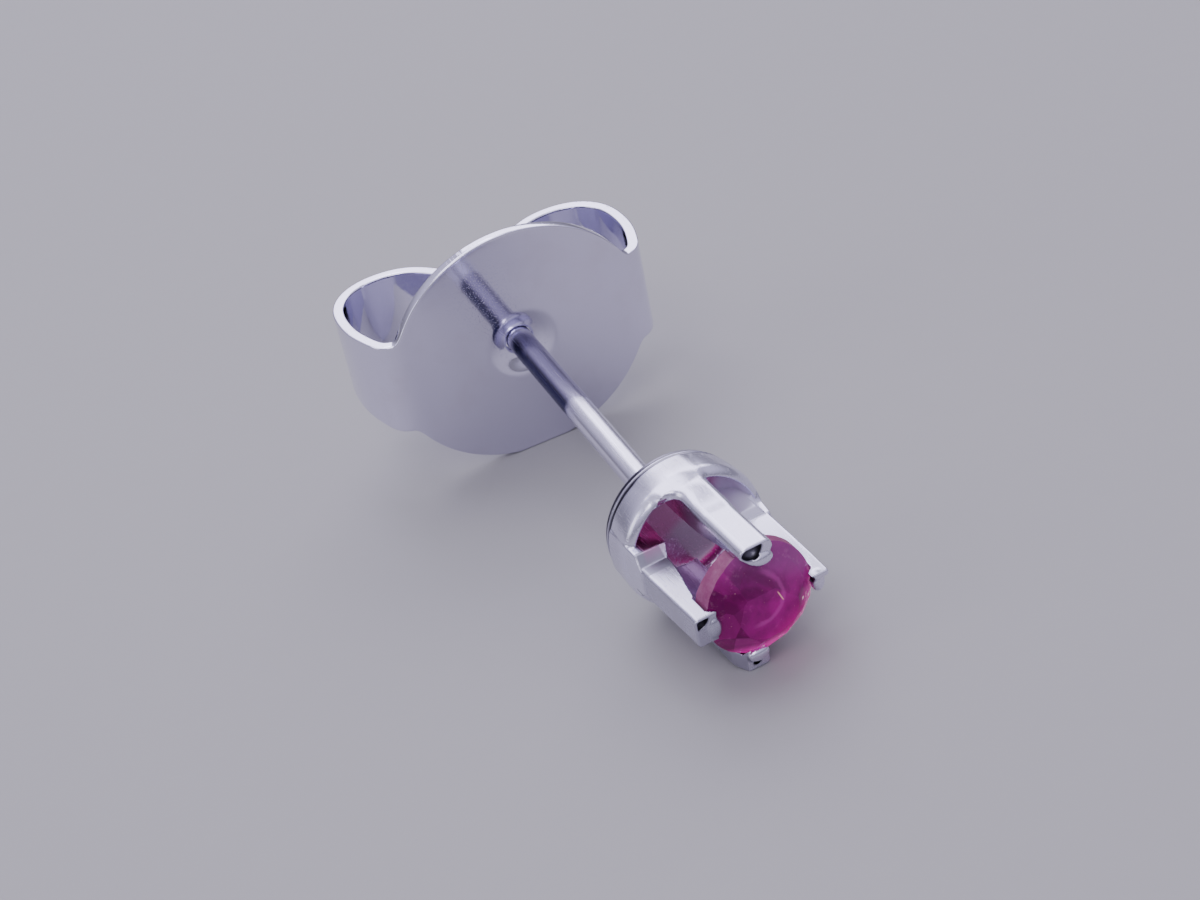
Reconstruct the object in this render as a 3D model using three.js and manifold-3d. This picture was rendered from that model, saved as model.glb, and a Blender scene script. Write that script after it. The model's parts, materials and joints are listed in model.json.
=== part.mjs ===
// Ruby ear stud: a four-claw cup soldered to a straight post, a round faceted ruby held in the
// claws, and a butterfly back (scroll nut) that slides on the post.
//
// Each piece is first drawn with the post along +Y: X is to the right, Y runs from the stone to
// the back, Z is up, and the origin is the middle of the stone. The finished stud is then tipped
// until it lies on its lowest claw and on the rim of the butterfly back, as an ear stud lies on a
// table. Millimetres.
import * as THREE from 'three';
import { ConvexGeometry } from 'three/addons/geometries/ConvexGeometry.js';
import { mergeVertices } from 'three/addons/utils/BufferGeometryUtils.js';
import Module from 'manifold-3d';

// ---- ruby -------------------------------------------------------------------------------------
const STONE_RADIUS = 1.53;
const STONE_SIDES = 16;
const STONE_SHIFT = 0.03; // the stone sits a little to the right in its seat
const GIRDLE_FRONT = -0.1; // y of the front edge of the thick girdle
const GIRDLE_BACK = 0.36;
const TABLE_RADIUS = 0.86;
const CROWN_HEIGHT = 0.52; // girdle to table
const PAVILION_DEPTH = 1.15; // girdle to culet

// ---- cup and claws ----------------------------------------------------------------------------
const CUP_BACK = 4.4; // y of the flat back of the cup
const CUP_RIM = 2.75; // y of the front of the cup's rim
const BACK_RADIUS = 1.8; // flat part of the back
const CUP_RADIUS = 2.06; // outside of the cup
const BORE_RADIUS = 1.68; // inside of the rim
const BOWL_FLOOR = 3.78; // y of the bottom of the hollow
const CLAW_WIDTH = 0.86;
const CLAW_FACE = 1.9; // flat outer face of the claws, from the axis
const CLAW_INNER = 1.4; // inner face of the claws
const CLAW_TIP = -0.34; // y of the flat ends of the claws
const CLAW_ROUNDING = 0.14; // long outer edges of a claw
const CLAW_CHAMFER = 0.09; // outer edge of a claw's end
const TIP_RADIUS = 1.39; // how far the tips hook in over the crown
const SEAT_RADIUS = 1.6; // bottom of the groove that holds the girdle
const SEAT_EDGE = 0.04; // how much wider than the girdle the groove is, on each side
const ROOT_WIDTH = 1.5; // claw where it meets the rim
const LOWER_SHIFT = 0.45; // the lower claw stands this far to the left
const HEAD_TURN = THREE.MathUtils.degToRad(4); // the cup sits a little askew on its post

// ---- post -------------------------------------------------------------------------------------
const POST_RADIUS = 0.39;
const POST_END = 16.4; // y of the rounded end
const SOLDER_RADIUS = 0.6;
const NOTCH_DEPTH = 0.05; // friction notch the back snaps into
const NOTCH_FROM_END = 1.25;

// ---- butterfly back ---------------------------------------------------------------------------
const PLATE_FRONT = 14.0; // y of the face that lies against the ear
const PLATE_WIDTH = 7.9;
const PLATE_HEIGHT = 7.4;
const PLATE_FLAT = 3.63; // from the post down to the flat worn on the plate's lower edge
const STRIP_THICKNESS = 0.34;
const STRIP_EDGE = 0.07; // rounding of the plate's rim
const HOLE_RADIUS = POST_RADIUS + 0.04;
const DIMPLE_RADIUS = 0.95; // funnel pressed round the hole
const DIMPLE_DEPTH = 0.3;
const WING_ROOT = 1.5; // half height of a wing where it leaves the plate
const WING_END = 1.25; // half height at the far side of the scroll
const WING_DEPTH = 4.3; // how far the scrolls stand behind the plate
const SCROLL = [ // middle of the strip: distance from the post, distance behind the plate's middle
  [3.1, 0], [3.6, 0.02], [3.98, 0.22], [4.24, 0.78], [4.42, 1.5], [4.46, 2.4], [4.3, 3.2],
  [3.85, 3.82], [3.2, 4.12], [2.5, 4.12], [1.85, 3.85], [1.22, 3.2], [0.8, 2.45], [0.61, 1.8],
  [0.64, 1.42], [0.9, 1.1]];

const ROUND = 72; // facets round the cup
const PLATE_MIDDLE = PLATE_FRONT + STRIP_THICKNESS / 2;

const wasm = await Module();
wasm.setup();

// closed solid from a three.js geometry
function solid(geometry) {
  const bare = geometry.index ? geometry.toNonIndexed() : geometry.clone();
  bare.deleteAttribute('normal');
  bare.deleteAttribute('uv');
  const merged = mergeVertices(bare, 1e-5);
  return new wasm.Manifold(new wasm.Mesh({
    numProp: 3,
    vertProperties: new Float32Array(merged.attributes.position.array),
    triVerts: new Uint32Array(merged.index.array),
  }));
}

// three.js geometry from a closed solid
function surface(body) {
  const mesh = body.getMesh();
  const geometry = new THREE.BufferGeometry();
  geometry.setAttribute('position', new THREE.BufferAttribute(mesh.vertProperties, 3));
  geometry.setIndex(new THREE.BufferAttribute(mesh.triVerts, 1));
  const flat = geometry.toNonIndexed();
  flat.computeVertexNormals();
  return flat;
}

// body of revolution about Y from [radius, y] pairs
function turned(profile, facets = ROUND) {
  const points = profile.map(([r, y]) => new THREE.Vector2(r, y));
  return solid(new THREE.LatheGeometry(points, facets));
}

// outline of [u, v] pairs extruded along its normal and centred on the outline's plane
function slab(outline, depth, bevel = 0) {
  const shape = new THREE.Shape(outline.map(([u, v]) => new THREE.Vector2(u, v)));
  const geometry = new THREE.ExtrudeGeometry(shape, {
    depth: depth - 2 * bevel,
    bevelEnabled: bevel > 0,
    bevelThickness: bevel,
    bevelSize: bevel,
    bevelOffset: -bevel,
    bevelSegments: 2,
  });
  return geometry.translate(0, 0, bevel - depth / 2);
}

function mirrored(outline) {
  return outline.concat(outline.map(([u, v]) => [-u, v]).reverse());
}

// ---- ruby: rings of facets from the table over the girdle to the culet ------------------------
function ruby() {
  const rings = [ // radius, y, turn in steps, sides
    [TABLE_RADIUS, GIRDLE_FRONT - CROWN_HEIGHT, 0, STONE_SIDES / 2],
    [1.2, GIRDLE_FRONT - 0.32, 0.5, STONE_SIDES / 2],
    [STONE_RADIUS, GIRDLE_FRONT, 0, STONE_SIDES],
    [STONE_RADIUS - 0.03, GIRDLE_BACK, 0, STONE_SIDES],
    [0.8, GIRDLE_BACK + 0.65, 0.5, STONE_SIDES / 2],
    [0.12, GIRDLE_BACK + PAVILION_DEPTH, 0, STONE_SIDES / 2],
  ];
  const points = [];
  for (const [radius, y, turn, sides] of rings) {
    for (let i = 0; i < sides; i += 1) {
      const angle = (2 * Math.PI * (i + turn)) / sides;
      const x = STONE_SHIFT + radius * Math.cos(angle);
      points.push(new THREE.Vector3(x, y, radius * Math.sin(angle)));
    }
  }
  return new ConvexGeometry(points);
}

// ---- cup: a short tube closed by a thick back, hollowed to a bowl -----------------------------
function cup() {
  return turned([
    [0, BOWL_FLOOR],
    [0.7, BOWL_FLOOR - 0.02],
    [1.15, BOWL_FLOOR - 0.14],
    [1.5, BOWL_FLOOR - 0.45],
    [BORE_RADIUS, CUP_RIM + 0.12],
    [BORE_RADIUS + 0.03, CUP_RIM],
    [CUP_RADIUS - 0.14, CUP_RIM],
    [CUP_RADIUS - 0.04, CUP_RIM + 0.08],
    [CUP_RADIUS, CUP_RIM + 0.22],
    [CUP_RADIUS - 0.02, CUP_RIM + 0.7],
    [BACK_RADIUS + 0.12, CUP_BACK - 0.12],
    [BACK_RADIUS + 0.05, CUP_BACK - 0.03],
    [BACK_RADIUS, CUP_BACK],
    [0, CUP_BACK],
  ]);
}

// ---- claws: a ring with the seat groove turned in it, parted into four ------------------------
function claws() {
  const ring = turned([
    [CLAW_INNER - 0.12, BOWL_FLOOR + 0.05],
    [CLAW_INNER - 0.06, CUP_RIM - 0.4],
    [CLAW_INNER, GIRDLE_BACK + 0.4],
    [SEAT_RADIUS, GIRDLE_BACK + SEAT_EDGE],
    [SEAT_RADIUS, GIRDLE_FRONT - SEAT_EDGE],
    [TIP_RADIUS, CLAW_TIP + 0.06],
    [TIP_RADIUS + 0.03, CLAW_TIP],
    [CUP_RADIUS - 0.03, CLAW_TIP],
    [CUP_RADIUS - 0.03, CUP_RIM + 0.3],
    [CLAW_FACE - 0.1, BOWL_FLOOR + 0.05],
    [CLAW_INNER - 0.12, BOWL_FLOOR + 0.05],
  ]);
  const half = CLAW_WIDTH / 2;
  const cross = mirrored([ // across a claw: [width, height above the axis]
    [half, 0],
    [half, CLAW_FACE - CLAW_ROUNDING],
    [half - 0.3 * CLAW_ROUNDING, CLAW_FACE - 0.3 * CLAW_ROUNDING],
    [half - CLAW_ROUNDING, CLAW_FACE],
  ]);
  const side = [ // along a claw: [y, height above the axis]
    [CLAW_TIP, 0],
    [CLAW_TIP, CLAW_FACE - CLAW_CHAMFER],
    [CLAW_TIP + CLAW_CHAMFER, CLAW_FACE],
    [BOWL_FLOOR + 0.1, CLAW_FACE],
    [BOWL_FLOOR + 0.1, 0],
  ];
  const root = mirrored([ // the claw widens into the rim: [width, y]
    [half - 0.02, CUP_RIM - 0.8],
    [half + 0.1, CUP_RIM - 0.4],
    [ROOT_WIDTH / 2, CUP_RIM],
    [ROOT_WIDTH / 2, BOWL_FLOOR + 0.1],
  ]);
  const rise = [ // the widened part rises to the cup's side: [y, height above the axis]
    [CUP_RIM - 0.8, 0],
    [CUP_RIM - 0.8, CLAW_FACE],
    [CUP_RIM, CLAW_FACE + 0.1],
    [BOWL_FLOOR + 0.1, CLAW_FACE + 0.1],
    [BOWL_FLOOR + 0.1, 0],
  ];
  const along = (outline) => solid(slab(outline, 2).rotateX(Math.PI / 2).rotateZ(Math.PI / 2));
  const length = 5;
  const bar = solid(slab(cross, 2 * length).rotateX(Math.PI / 2)).intersect(along(side));
  const foot = solid(slab(root, 2 * CUP_RADIUS)).intersect(along(rise));
  const claw = bar.add(foot);
  const lower = claw.rotate([0, 180, 0]).translate([-LOWER_SHIFT, 0, 0]);
  const others = [0, 90, 270].map((turn) => claw.rotate([0, turn, 0]));
  return ring.intersect(wasm.Manifold.union([lower, ...others]));
}

// ---- post with its solder fillet and friction notch -------------------------------------------
function post() {
  const notch = POST_END - NOTCH_FROM_END;
  return turned([
    [0, CUP_BACK - 0.3],
    [SOLDER_RADIUS, CUP_BACK - 0.3],
    [SOLDER_RADIUS, CUP_BACK + 0.06],
    [POST_RADIUS + 0.07, CUP_BACK + 0.16],
    [POST_RADIUS, CUP_BACK + 0.34],
    [POST_RADIUS, notch - 0.3],
    [POST_RADIUS - NOTCH_DEPTH, notch - 0.15],
    [POST_RADIUS - NOTCH_DEPTH, notch + 0.15],
    [POST_RADIUS, notch + 0.3],
    [POST_RADIUS, POST_END - 0.25],
    [POST_RADIUS - 0.1, POST_END - 0.07],
    [POST_RADIUS - 0.22, POST_END],
    [0, POST_END],
  ], 40);
}

// ---- butterfly back ---------------------------------------------------------------------------
function plate() {
  const outline = [];
  for (let i = 0; i < 80; i += 1) {
    const angle = (2 * Math.PI * (i + 0.5)) / 80;
    const height = (PLATE_HEIGHT / 2) * Math.sin(angle);
    if (height > -PLATE_FLAT) {
      outline.push([(PLATE_WIDTH / 2) * Math.cos(angle), height]);
    }
  }
  return solid(slab(outline, STRIP_THICKNESS, STRIP_EDGE)
    .rotateX(Math.PI / 2)
    .translate(0, PLATE_MIDDLE, 0));
}

// strip that leaves the plate at its side and scrolls round behind it to the post
function wing() {
  const points = SCROLL.map(([x, y]) => new THREE.Vector3(x, y, 0));
  const spine = new THREE.CatmullRomCurve3(points, false, 'centripetal').getSpacedPoints(44);
  const edge = (offset) => spine.map((p, i) => {
    const before = spine[Math.max(i - 1, 0)];
    const after = spine[Math.min(i + 1, spine.length - 1)];
    const along = after.clone().sub(before).normalize();
    return [p.x - along.y * offset, p.y + along.x * offset];
  });
  const outline = edge(STRIP_THICKNESS / 2).concat(edge(-STRIP_THICKNESS / 2).reverse());
  const band = solid(slab(outline, 2 * WING_ROOT));
  const taper = solid(slab(mirrored([ // seen from the side: [height, depth]
    [WING_ROOT, -1],
    [WING_ROOT, 0],
    [WING_END, WING_DEPTH],
  ]), 12).rotateY(Math.PI / 2));
  return band.intersect(taper).translate([0, PLATE_MIDDLE, 0]);
}

function butterfly() {
  const back = PLATE_FRONT + STRIP_THICKNESS;
  const boss = turned([
    [0, back - 0.1],
    [DIMPLE_RADIUS + 0.25, back - 0.1],
    [DIMPLE_RADIUS + 0.22, back],
    [HOLE_RADIUS + 0.3, back + DIMPLE_DEPTH],
    [0, back + DIMPLE_DEPTH],
  ], 48);
  const funnel = turned([
    [0, PLATE_FRONT - 1],
    [DIMPLE_RADIUS, PLATE_FRONT - 1],
    [DIMPLE_RADIUS, PLATE_FRONT],
    [HOLE_RADIUS, PLATE_FRONT + DIMPLE_DEPTH + 0.1],
    [HOLE_RADIUS, back + 1],
    [0, back + 1],
  ], 48);
  return plate().add(boss).add(wing()).add(wing().mirror([1, 0, 0])).subtract(funnel);
}

// the head turns about the middle of the cup's back, where the post is soldered on
const headPlace = new THREE.Matrix4()
  .makeTranslation(0, CUP_BACK, 0)
  .multiply(new THREE.Matrix4().makeRotationZ(HEAD_TURN))
  .multiply(new THREE.Matrix4().makeTranslation(0, -CUP_BACK, 0));
const head = solid(surface(cup().add(claws())).applyMatrix4(headPlace));

const silver = new THREE.MeshStandardMaterial({
  name: 'silver',
  color: 0xd9d9de,
  roughness: 0.22,
  metalness: 1,
});
const pressedSilver = new THREE.MeshStandardMaterial({
  name: 'pressed silver',
  color: 0xcfcfd4,
  roughness: 0.12,
  metalness: 1,
});
const raspberry = new THREE.MeshStandardMaterial({
  name: 'ruby',
  color: 0x9c1768,
  roughness: 0.12,
  metalness: 0,
});

function piece(name, geometry, material) {
  const mesh = new THREE.Mesh(geometry, material);
  mesh.name = name;
  return mesh;
}

// lying down: the lower claw's tip and the flat on the plate's edge touch the table together
const stud = new THREE.Group();
stud.add(
  piece('claw_setting', surface(head.add(post())), silver),
  piece('ruby_stone', ruby().applyMatrix4(headPlace), raspberry),
  piece('butterfly_back', surface(butterfly()), pressedSilver),
);
const span = PLATE_FRONT + STRIP_EDGE - CLAW_TIP - CLAW_CHAMFER;
stud.rotation.x = Math.atan2(PLATE_FLAT - CLAW_FACE, span);

const lying = new THREE.Group();
lying.add(stud);
lying.updateMatrixWorld(true);
const box = new THREE.Box3().setFromObject(lying, true);
const middle = box.getCenter(new THREE.Vector3());
stud.position.set(-middle.x, -middle.y, -box.min.z);

export default lying;
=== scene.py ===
"""Ruby ear stud: four-claw cup on a post, faceted ruby, butterfly back. Shapes in millimetres."""
import json
import math

import bmesh
import bpy
import numpy as np
from mathutils import Matrix, Vector


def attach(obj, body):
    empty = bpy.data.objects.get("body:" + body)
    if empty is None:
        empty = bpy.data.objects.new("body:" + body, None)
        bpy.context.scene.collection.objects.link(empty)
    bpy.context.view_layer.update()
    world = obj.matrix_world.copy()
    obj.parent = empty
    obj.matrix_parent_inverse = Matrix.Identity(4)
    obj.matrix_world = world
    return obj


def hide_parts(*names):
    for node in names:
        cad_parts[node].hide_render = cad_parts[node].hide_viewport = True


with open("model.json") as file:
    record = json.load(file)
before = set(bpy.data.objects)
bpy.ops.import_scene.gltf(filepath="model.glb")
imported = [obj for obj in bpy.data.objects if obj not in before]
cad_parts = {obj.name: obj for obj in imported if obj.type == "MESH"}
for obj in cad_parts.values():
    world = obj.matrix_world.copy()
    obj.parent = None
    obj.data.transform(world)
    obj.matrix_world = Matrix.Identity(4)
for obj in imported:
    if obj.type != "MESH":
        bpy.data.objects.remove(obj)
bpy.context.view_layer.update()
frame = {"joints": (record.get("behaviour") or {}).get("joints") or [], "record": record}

MM = 0.001

# ---- sizes of the built part, post along +Y, origin in the middle of the stone ----
CUP_BACK = 4.4
CUP_RIM = 2.82
CUP_RADIUS = 2.055
BORE_RADIUS = 1.75
BOWL_FLOOR = 3.78
CLAW_HALF = 0.43  # half the width of a claw
CLAW_FACE = 1.9  # flat outer face, from the axis
TOP_SHIFT = 0.04  # the top claw stands this far to the right
SIDE_SHIFT = 0.08  # the left claw stands this far up, the right one this far down
RIGHT_SET_IN = 0.06  # the right claw stands this much nearer to the axis
LOWER_SHIFT = 0.45  # the lower claw stands this far to the left
HEAD_TURN = math.radians(4)
POST_RADIUS = 0.39
POST_END = 16.4
PLATE_FRONT = 14.0
PLATE_HALF_WIDTH = 3.95
PLATE_HALF_HEIGHT = 3.7
PLATE_FLAT = 3.625  # down to the flat worn on the plate's lower edge
STRIP = 0.33  # thickness of the pressed strip
HOLE_RADIUS = 0.43


# ---- places in the shared frame, from the record ----
def place_along_post():
    """Puts the drawing's post on the joint's line and its plate on the plate's mount."""
    slide = next(j for j in frame["joints"] if j["name"] == "back_slide")
    plate = next(m for m in frame["record"]["mounts"] if m["name"] == "plate_front")
    tilt = Matrix.Rotation(math.atan2(slide["axis"][2], slide["axis"][1]), 4, "X")
    drawn = Vector((2.4, PLATE_FRONT, 0.0))
    shift = tilt.inverted() @ (Vector(plate["pos_m"]) / MM) - drawn
    return Matrix.Scale(MM, 4) @ tilt @ Matrix.Translation(shift)


POST_PLACE = place_along_post()
HEAD_PLACE = (
    POST_PLACE
    @ Matrix.Translation((0, CUP_BACK, 0))
    @ Matrix.Rotation(HEAD_TURN, 4, "Z")
    @ Matrix.Translation((0, -CUP_BACK, 0))
)


# ---- shader maths ----
class Value:
    """One output socket. Arithmetic on it adds Math nodes to its finish."""

    def __init__(self, finish, socket):
        self.finish = finish
        self.socket = socket

    def math(self, operation, *others, clamp=False):
        settings = dict(operation=operation, use_clamp=clamp)
        return self.finish.node("ShaderNodeMath", settings, dict(enumerate((self,) + others)))

    def __add__(self, other):
        return self.math("ADD", other)

    __radd__ = __add__

    def __sub__(self, other):
        return self.math("SUBTRACT", other)

    def __rsub__(self, other):
        return (self * -1.0) + other

    def __mul__(self, other):
        return self.math("MULTIPLY", other)

    __rmul__ = __mul__

    def between(self, low, high):
        """0 below low, 1 above high and smooth from one to the other."""
        sockets = {"Value": self, "From Min": low, "From Max": high}
        settings = dict(interpolation_type="SMOOTHSTEP")
        return self.finish.node("ShaderNodeMapRange", settings, sockets)

    def below(self, low, high):
        """1 below low, 0 above high and smooth from one to the other."""
        return (self * -1.0).between(-high, -low)


def distance(x, z, centre_x=0.0, centre_z=0.0):
    """From a line along the post."""
    across = x - centre_x
    up = z - centre_z
    return (across * across + up * up).math("SQRT")


class Nodes:
    """Builds the nodes of one tree."""

    def __init__(self, tree):
        self.tree = tree
        self.tree.nodes.clear()

    def node(self, kind, settings=None, sockets=None, out=None):
        made = self.tree.nodes.new(kind)
        for key, setting in (settings or {}).items():
            if key == "stops":
                self.set_stops(made.color_ramp, setting)
            else:
                setattr(made, key, setting)
        for key, given in (sockets or {}).items():
            self.plug(self.find(made.inputs, key), given)
        outputs = [s for s in made.outputs if s.enabled]
        return Value(self, outputs[0] if out is None else self.find(made.outputs, out))

    @staticmethod
    def find(sockets, key):
        if isinstance(key, int):
            return sockets[key]
        return next(s for s in sockets if key in (s.identifier, s.name) and s.enabled)

    def plug(self, socket, given):
        if isinstance(given, Value):
            self.tree.links.new(given.socket, socket)
        else:
            socket.default_value = given

    @staticmethod
    def set_stops(ramp, stops):
        while len(ramp.elements) < len(stops):
            ramp.elements.new(0.5)
        for element, (position, tone) in zip(ramp.elements, stops):
            element.position = position
            element.color = (*tone, 1.0)

    def scaled(self, vector, by):
        by = (by,) * 3 if isinstance(by, (int, float)) else by
        return self.node("ShaderNodeVectorMath", dict(operation="MULTIPLY"), {0: vector, 1: by})

    def parts(self, vector):
        made = self.tree.nodes.new("ShaderNodeSeparateXYZ")
        self.tree.links.new(vector.socket, made.inputs[0])
        return [Value(self, s) for s in made.outputs]


class Finish(Nodes):
    """A material with one Principled shader, and the means to build nodes in front of it."""

    def __init__(self, name):
        self.material = bpy.data.materials.new(name)
        self.material.use_nodes = True
        super().__init__(self.material.node_tree)
        self.output = self.tree.nodes.new("ShaderNodeOutputMaterial")

    def local(self, place):
        """Millimetres in the piece's own drawing, which the piece carries with it."""
        here = self.node("ShaderNodeTexCoord", out="Object")
        origin = {0: here, 1: tuple(place.translation)}
        moved = self.node("ShaderNodeVectorMath", dict(operation="SUBTRACT"), origin)
        settings = dict(rotation_type="EULER_XYZ", invert=True)
        turn = {"Vector": moved, "Rotation": tuple(place.to_euler())}
        return self.scaled(self.node("ShaderNodeVectorRotate", settings, turn), 1 / MM)

    def noise(self, vector, scale, detail=3.0, roughness=0.55, distortion=0.0):
        sockets = {
            "Vector": vector,
            "Scale": scale,
            "Detail": detail,
            "Roughness": roughness,
            "Distortion": distortion,
        }
        return self.node("ShaderNodeTexNoise", {}, sockets)

    def mix(self, share, first, second):
        sockets = {"Factor_Float": share, "A_Color": first, "B_Color": second}
        return self.node("ShaderNodeMix", dict(data_type="RGBA"), sockets, out="Result_Color")

    def bump(self, height, depth, strength=1.0, under=None):
        sockets = {"Height": height, "Distance": depth * MM, "Strength": strength}
        if under is not None:
            sockets["Normal"] = under
        return self.node("ShaderNodeBump", {}, sockets)

    def done(self, sockets):
        surface = self.node("ShaderNodeBsdfPrincipled", {}, sockets)
        self.tree.links.new(surface.socket, self.output.inputs["Surface"])
        return self.material


def colour(r, g, b):
    return (r, g, b, 1.0)


# ---- silver ----
OXIDE_AND_SHADE = "oxide"  # how dark each point is painted: oxide in the hollows and painted shade
CLEAN_SILVER = colour(0.80, 0.775, 0.95)
GREYED_SILVER = colour(0.72, 0.68, 0.79)
# the dark colour of oxide and of painted shade
SILVER_OXIDE_AND_SHADE = colour(0.022, 0.018, 0.032)
# pinks of the painted reflection of the ruby in the bowl
MAUVE_RUBY_REFLECTION = colour(0.70, 0.48, 0.68)
ROSY_RUBY_REFLECTION = colour(0.72, 0.18, 0.48)
# painted reflection and painted shade on the post near the plate
LILAC_PLATE_REFLECTION = colour(0.34, 0.31, 0.43)
NAVY_SHADE = colour(0.022, 0.02, 0.09)


def scratches(finish, here, along, across, amount):
    """Fine straight wear marks: noise drawn out in one direction and cut to thin lines."""
    drawn = finish.scaled(here, (across, along, across))
    lines = finish.noise(drawn, 1.0, detail=2.0, roughness=0.7)
    return lines.between(1.0 - amount, 1.0 - amount + 0.12)


def worn_silver(finish, here, scratch_along, gloss):
    """Colour, roughness and relief of silver: soft polish, hairlines, and the oxide and painted
    shade that the mesh carries.
    """
    clouds = finish.noise(here, 0.9, detail=4.0)
    fine = finish.noise(here, 9.0, detail=5.0, roughness=0.6)
    hairlines = scratches(finish, here, scratch_along, 22.0, 0.42)
    crossed = scratches(finish, here, 26.0, scratch_along, 0.36)
    # oxide in the hollows and painted shade, read from the mesh, darken the silver
    oxide = finish.node("ShaderNodeAttribute", dict(attribute_name=OXIDE_AND_SHADE), out="Fac")
    oxide = (oxide * (clouds * 0.8 + 0.6)).math("ADD", 0.0, clamp=True)
    silver = finish.mix(clouds.between(0.5, 0.78) * 0.4, CLEAN_SILVER, GREYED_SILVER)
    silver = finish.mix(fine.between(0.55, 0.8) * 0.15, silver, GREYED_SILVER)
    silver = finish.mix(oxide * 0.98, silver, SILVER_OXIDE_AND_SHADE)
    roughness = clouds * 0.10 + hairlines * 0.12 + crossed * 0.08 + oxide * 0.15 + (gloss - 0.05)
    relief = finish.bump(hairlines * -1.0, 0.004, 0.28)
    relief = finish.bump(crossed * -1.0, 0.003, 0.18, under=relief)
    relief = finish.bump(fine, 0.004, 0.15, under=relief)
    return silver, roughness, relief


def silver_done(finish, silver, roughness, relief, metallic=1.0):
    sockets = {"Base Color": silver, "Metallic": metallic, "Roughness": roughness, "Normal": relief}
    return finish.done(sockets)


def pressed_silver(name):
    """The back's silver, still bright from the press."""
    finish = Finish(name)
    silver, roughness, relief = worn_silver(finish, finish.local(POST_PLACE), 1.0, 0.06)
    return silver_done(finish, silver, roughness, relief)


def cup_silver(name):
    """The head's silver: satin outside, with a painted reflection of the ruby and a frosted wall in
    the bowl.
    """
    finish = Finish(name)
    here = finish.local(HEAD_PLACE)
    silver, roughness, relief = worn_silver(finish, here, 1.2, 0.23)
    x, y, z = finish.parts(here)
    inside = distance(x, z).below(1.74, 1.86) * y.between(2.2, 2.9) * y.below(3.95, 4.1)
    right_wall = x.between(0.9, 1.3)
    frosted = inside * right_wall
    # painted reflection of the ruby on the bowl's wall, rosier towards the upper left
    ruby_reflection = inside * (1.0 - right_wall)
    rosy = (z * 0.9 - x * 0.5).between(-0.15, 0.25)
    silver = finish.mix(ruby_reflection * 0.75, silver, finish.mix(rosy, MAUVE_RUBY_REFLECTION, ROSY_RUBY_REFLECTION))
    roughness = roughness + frosted * 0.38 - ruby_reflection * 0.04
    return silver_done(finish, silver, roughness, relief, metallic=1.0 - frosted * 0.85)


def post_silver(name):
    """The post's silver, bright near the cup, with a painted dark reflection where the back was
    pushed on, and painted shade on its lower left side there.
    """
    finish = Finish(name)
    here = finish.local(POST_PLACE)
    silver, roughness, relief = worn_silver(finish, here, 0.5, 0.2)
    x, y, z = finish.parts(here)
    ragged = finish.noise(here, 1.4, detail=3.0) * 0.5
    # painted reflection of the plate on the post, with a ragged edge
    plate_reflection_zone = (y + ragged).between(10.1, 10.4) * y.below(13.7, 14.3)
    lower_left = (x * -0.75 - z * 0.66).between(-0.10, 0.12)
    silver = finish.mix(plate_reflection_zone * 0.8, silver, LILAC_PLATE_REFLECTION)
    # painted shade on the post's lower left side
    silver = finish.mix(plate_reflection_zone * lower_left * 0.97, silver, NAVY_SHADE)
    return silver_done(finish, silver, roughness, relief)


# ---- ruby's finishes ----
DEEP_RUBY = colour(0.085, 0.0, 0.055)
CLEAR_RUBY = colour(0.24, 0.0, 0.155)
SHADED_RUBY = colour(0.10, 0.0, 0.055)
# painted reflections: darker and brighter facets
DARK_FACET_REFLECTION = colour(0.06, 0.0, 0.045)
BRIGHT_FACET_REFLECTION = colour(0.33, 0.01, 0.22)
# painted sheen of the bright sky on the upper facets
SKY_SHEEN = colour(0.27, 0.07, 0.25)
# painted glow
RASPBERRY_GLOW = colour(0.78, 0.0, 0.36)
WISP = colour(0.62, 0.08, 0.42)
SCRATCH = colour(0.95, 0.50, 0.42)
FEATHER = colour(0.60, 0.10, 0.46)
CRACK = colour(1.0, 0.50, 0.42)
# painted glow and painted glints on the chips
EDGE_GLOW = colour(0.95, 0.03, 0.52)
CHIP_GLINT = colour(1.0, 0.66, 0.80)
BRIGHT_CHIP_GLINT = colour(1.0, 0.72, 0.80)
GIRDLE_DUSK = colour(0.22, 0.02, 0.115)
GIRDLE_ROSE = colour(0.30, 0.085, 0.19)
GIRDLE_FROST = colour(0.50, 0.26, 0.40)
CHIP_GLINT_SPOTS = (  # x, z and size of the chips along the lower edge, each painted as a bright glint
    (-0.18, -1.24, 0.05), (0.55, -0.95, 0.055), (0.36, -1.12, 0.04), (1.02, -0.22, 0.05),
    (0.86, -0.62, 0.035), (-0.72, -1.05, 0.03),
)


def ruby_depths(finish, here, x, z, glow):
    """The clear stone: darker in the middle, painted shade at the left, painted facet reflections,
    a painted sheen above and a painted glow lower right.
    """
    clouds = finish.noise(here, 0.95, detail=4.0, distortion=0.4)
    body = finish.mix(clouds.between(0.36, 0.68), DEEP_RUBY, CLEAR_RUBY)
    body = finish.mix((x * -1.0 - z * 0.3).between(0.1, 1.2) * 0.5, body, SHADED_RUBY)
    facing = finish.node("ShaderNodeTexCoord", out="Normal")
    # painted reflections: each facet darker or brighter by its own slant
    facet_reflections = finish.noise(facing, 5.0, detail=0.0)
    body = finish.mix(facet_reflections.below(0.35, 0.5) * 0.35, body, DARK_FACET_REFLECTION)
    body = finish.mix(facet_reflections.between(0.5, 0.65) * 0.35, body, BRIGHT_FACET_REFLECTION)
    # painted sheen, strongest towards the upper right
    height = x * 0.5 + z * 0.9 + clouds * 0.4
    sky_sheen = height.between(0.4, 1.2) * 0.2 + height.between(1.0, 1.4) * 0.4
    body = finish.mix(sky_sheen, body, SKY_SHEEN)
    return finish.mix(glow * 0.85, body, RASPBERRY_GLOW)


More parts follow.
